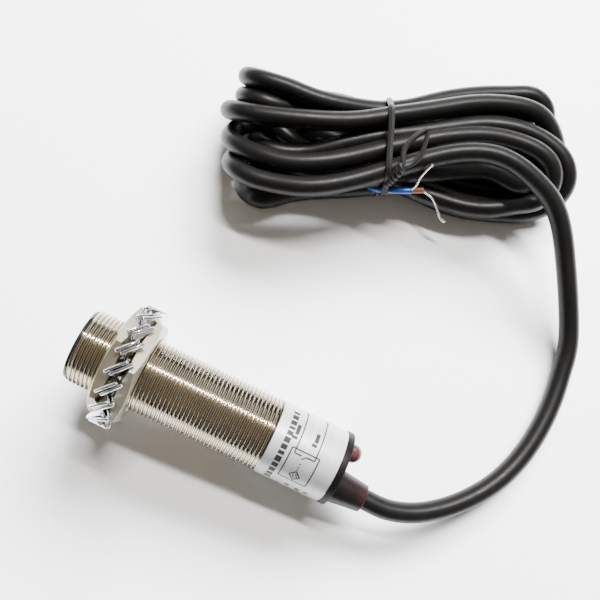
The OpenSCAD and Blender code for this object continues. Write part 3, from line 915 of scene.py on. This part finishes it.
def waistOutline():
    # the tie lies on the turns that it holds: the outline round their sections at the waist
    cross = []
    held = [(cableLocal, cable["width"] / 2)]
    held += [(np.array(smoothRoute(cores[key], 4)), cores["radius"]) for key in ("blue", "brown")]
    for route, radius in held:
        for a, b in zip(route, route[1:]):
            if a[1] > -22 and (a[0] - tie["u"]) * (b[0] - tie["u"]) <= 0 and abs(a[0] - b[0]) > 1e-6:
                k = (tie["u"] - a[0]) / (b[0] - a[0])
                cross.append((a[1] + (b[1] - a[1]) * k, a[2] + (b[2] - a[2]) * k, radius + tie["lift"]))
    outline = []
    for k in range(360):
        angle = tau * k / 360
        n = (cos(angle), sin(angle))
        v, z, grow = max(cross, key=lambda c: c[0] * n[0] + c[1] * n[1] + c[2])
        outline.append((v + n[0] * grow, max(z + n[1] * grow, tie["lift"])))
    marks = [outline[0]]
    for p in outline[1:]:
        if (Vector(p) - Vector(marks[-1])).length > 0.35:
            marks.append(p)
    even = []
    for a, b in zip(marks, marks[1:] + marks[:1]):
        count = max(1, int((Vector(b) - Vector(a)).length / 0.6))
        even += [(a[0] + (b[0] - a[0]) * i / count, a[1] + (b[1] - a[1]) * i / count) for i in range(count)]
    for again in range(3):
        even = [((a[0] + 2 * b[0] + c[0]) / 4, (a[1] + 2 * b[1] + c[1]) / 4)
                for a, b, c in zip(even[-1:] + even, even, even[1:] + even[:1])]
    return even


def makeTie():
    outline = waistOutline()
    route = [(tie["u"] + tie["lean"] * v + 0.1 * sin(i * 0.21), v, z) for i, (v, z) in enumerate(outline)]
    points, faces = [], []
    n, half, thick = len(route), tie["wide"] / 2, tie["thick"]
    section = [(-half, 0.0), (-half * 0.86, -thick * 0.26), (-half * 0.35, -thick * 0.3), (0, -thick * 0.42),
               (half * 0.35, -thick * 0.3), (half * 0.86, -thick * 0.26), (half, 0.0),
               (half * 0.86, thick * 0.26), (half * 0.35, thick * 0.3),
               (0, thick * 0.55), (-half * 0.35, thick * 0.3), (-half * 0.86, thick * 0.26)]
    for i, spot in enumerate(route):
        ahead, behind = Vector(route[(i + 1) % n]), Vector(route[i - 1])
        heading = (ahead - behind).normalized()
        out = Vector((1, 0, 0)).cross(heading).normalized() * -1
        for a, b in section:
            points.append(tuple(Vector(spot) + Vector((a, 0, 0)) + out * b))
    m = len(section)
    for i in range(n):
        for k in range(m):
            a, b = i * m, ((i + 1) % n) * m
            faces.append((a + k, a + (k + 1) % m, b + (k + 1) % m, b + k))
    obj = meshObject("waist_tie", points, faces, hankFrame)
    return finishPiece(obj, "root", "tie_plastic", "tie_plastic", "hank_tie", sharp=60)


def makeTieEnds():
    shells = []
    core = smoothRoute(ends["twist"], 14)
    for phase in (0.0, pi):
        route = []
        for i, spot in enumerate(core):
            ahead = Vector(core[min(i + 1, len(core) - 1)]) - Vector(core[max(i - 1, 0)])
            side = ahead.cross(Vector((0, 0, 1))).normalized()
            up = side.cross(ahead).normalized()
            turn = phase + tau * 3.0 * i / (len(core) - 1)
            route.append(Vector(spot) + (side * cos(turn) + up * sin(turn)) * 0.62)
        shells.append(sweptPoints(route, roundSection(ends["radius"], 10)))
    flat = [(a * 1.15, b * 0.8) for a, b in roundSection(ends["radius"], 10)]
    shells.append(sweptPoints(smoothRoute(ends["loop"], 5), flat))
    shells.append(sweptPoints(smoothRoute(ends["tail"], 5), flat, twist=1.2))
    obj = meshObject("tie_twist", *joinShells(shells), hankFrame)
    return finishPiece(obj, "root", "tie_plastic", "tie_plastic", "tie_ends", sharp=60)


def strandedWire(route, radius, strands=6, turns=5.0):
    path = smoothRoute(route, 10)
    shells = []
    for strand in range(strands):
        line = []
        for i, spot in enumerate(path):
            ahead = (Vector(path[min(i + 1, len(path) - 1)]) - Vector(path[max(i - 1, 0)])).normalized()
            side = ahead.cross(Vector((0.2, 0.1, 1))).normalized()
            up = side.cross(ahead)
            turn = tau * (strand / strands + turns * i / (len(path) - 1))
            fray = 1.0 + 0.9 * max(0.0, i / (len(path) - 1) - 0.8) * (1 + strand % 3)
            line.append(Vector(spot) + (side * cos(turn) + up * sin(turn)) * radius * 0.6 * fray)
        shells.append(sweptPoints(line, roundSection(radius * 0.42, 7)))
    return shells


def makeCores():
    pieces = []
    for name, key, node, material in (("blue_core_end", "blue", "blue_core", "core_blue"),
                                      ("brown_core_end", "brown", "brown_core", "core_brown")):
        route = smoothRoute(cores[key], 6)
        obj = meshObject(name, *sweptPoints(route, roundSection(cores["radius"], 20)), hankFrame)
        pieces.append(finishPiece(obj, "root", material, material, node, sharp=50))
    shells = [shell for key in ("blueWire", "brownWire")
              for shell in strandedWire(cores[key], cores["wireRadius"])]
    obj = meshObject("bare_strands", *joinShells(shells), hankFrame)
    pieces.append(finishPiece(obj, "root", "tinned_copper", "tinned_copper", "bare_wires", sharp=60))
    return pieces


tieRing = makeTie()
tieTwist = makeTieEnds()
corePieces = makeCores()
cableObject.data.materials.append(materials["cable_jacket"])
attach(cableObject, "root")
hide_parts("cable_run", "cable_hank")
print("tie, cores and wires made")


# the inner pieces keep their shape and only take a material
keptNodes = {
    "lens_seal": "seal_rubber", "optics_holder": "holder_plastic", "optics_baffle": "holder_plastic",
    "emitter": "lamp_resin", "receiver": "receiver_resin", "circuit_board": "board_laminate",
    "control_chip": "chip_black", "bridge_rectifier": "chip_black", "thyristor": "chip_black",
    "capacitor": "can_metal", "resistors": "resistor_paint", "trimmer_body": "trimmer_blue",
    "trimmer_rotor": "trimmer_brass", "indicator_led": "dome_plastic", "potting": "potting_resin",
    "cap_seal": "seal_rubber", "cable_root": "cable_jacket", "core_tails": "core_blue"}
for node, material in keptNodes.items():
    keepNode(node, material)


def makeTable():
    half = 1.6
    mesh = bpy.data.meshes.new("table")
    corners = [(-half, -half, 0), (half, -half, 0), (half, half, 0), (-half, half, 0)]
    mesh.from_pydata(corners, [], [(0, 1, 2, 3)])
    obj = bpy.data.objects.new("table", mesh)
    bpy.context.scene.collection.objects.link(obj)
    mat, tree, shader = newMaterial("pale table")
    coords = objectCoords(tree)
    tone = addNoise(tree, coords, 7, 2.0)
    paint = addRamp(tree, tone, [(0.3, (0.85, 0.855, 0.87)), (0.7, (0.87, 0.875, 0.89))])
    linkNodes(tree, paint, shader.inputs["Base Color"])
    shader.inputs["Roughness"].default_value = 0.5
    mesh.materials.append(mat)


def makeLight(name, spot, aim, size, power, colour=(1, 1, 1), mirrored=True):
    data = bpy.data.lights.new(name, "AREA")
    data.shape, data.size, data.size_y = "RECTANGLE", size[0], size[1]
    data.energy, data.color = power, colour
    obj = bpy.data.objects.new(name, data)
    bpy.context.scene.collection.objects.link(obj)
    obj.location = spot
    obj.rotation_mode = "QUATERNION"
    obj.rotation_quaternion = (Vector(aim) - Vector(spot)).to_track_quat("-Z", "Y")
    obj.visible_glossy = mirrored  # a light that isn't mirrored only fills


def makeWorld():
    world = bpy.data.worlds.new("studio")
    bpy.context.scene.world = world
    world.use_nodes = True
    tree = world.node_tree
    back = tree.nodes["Background"]
    coords = addNode(tree, "ShaderNodeTexCoord").outputs["Generated"]
    split = addNode(tree, "ShaderNodeSeparateXYZ")
    linkNodes(tree, coords, split.inputs["Vector"])
    # dim and warm overhead and towards the viewer, bright towards the far side, as in a room with one window
    tone = addRamp(tree, spread(tree, split.outputs["Y"], -1.0, 1.0),
                   [(0.0, (0.20, 0.20, 0.20)), (0.08, (0.22, 0.21, 0.20)), (0.24, (0.33, 0.29, 0.235)),
                    (0.62, (0.38, 0.335, 0.27)), (0.74, (0.56, 0.53, 0.47)),
                    (0.9, (0.78, 0.77, 0.75)), (1.0, (0.8, 0.81, 0.83))])
    # the room is dark low down, which gives the thread its black edge
    low = addRamp(tree, spread(tree, split.outputs["Z"], -1.0, 1.0),
                  greys((0.5, 0.06), (0.585, 0.08), (0.66, 1.0)))
    both = addNode(tree, "ShaderNodeVectorMath", operation="MULTIPLY")
    linkNodes(tree, tone, both.inputs[0])
    linkNodes(tree, low, both.inputs[1])
    linkNodes(tree, both.outputs["Vector"], back.inputs["Color"])
    back.inputs["Strength"].default_value = 0.8


makeTable()
makeWorld()
makeLight("key", (0.02, 0.50, 0.86), (0.0, 0.0, 0.0), (0.45, 0.05), 16.0, (1.0, 0.98, 0.95))
makeLight("window", (0.05, 1.0, 0.66), (0.0, 0.05, 0.0), (0.9, 0.4), 142.0, (0.97, 0.985, 1.0), mirrored=False)
print("table and lights made")
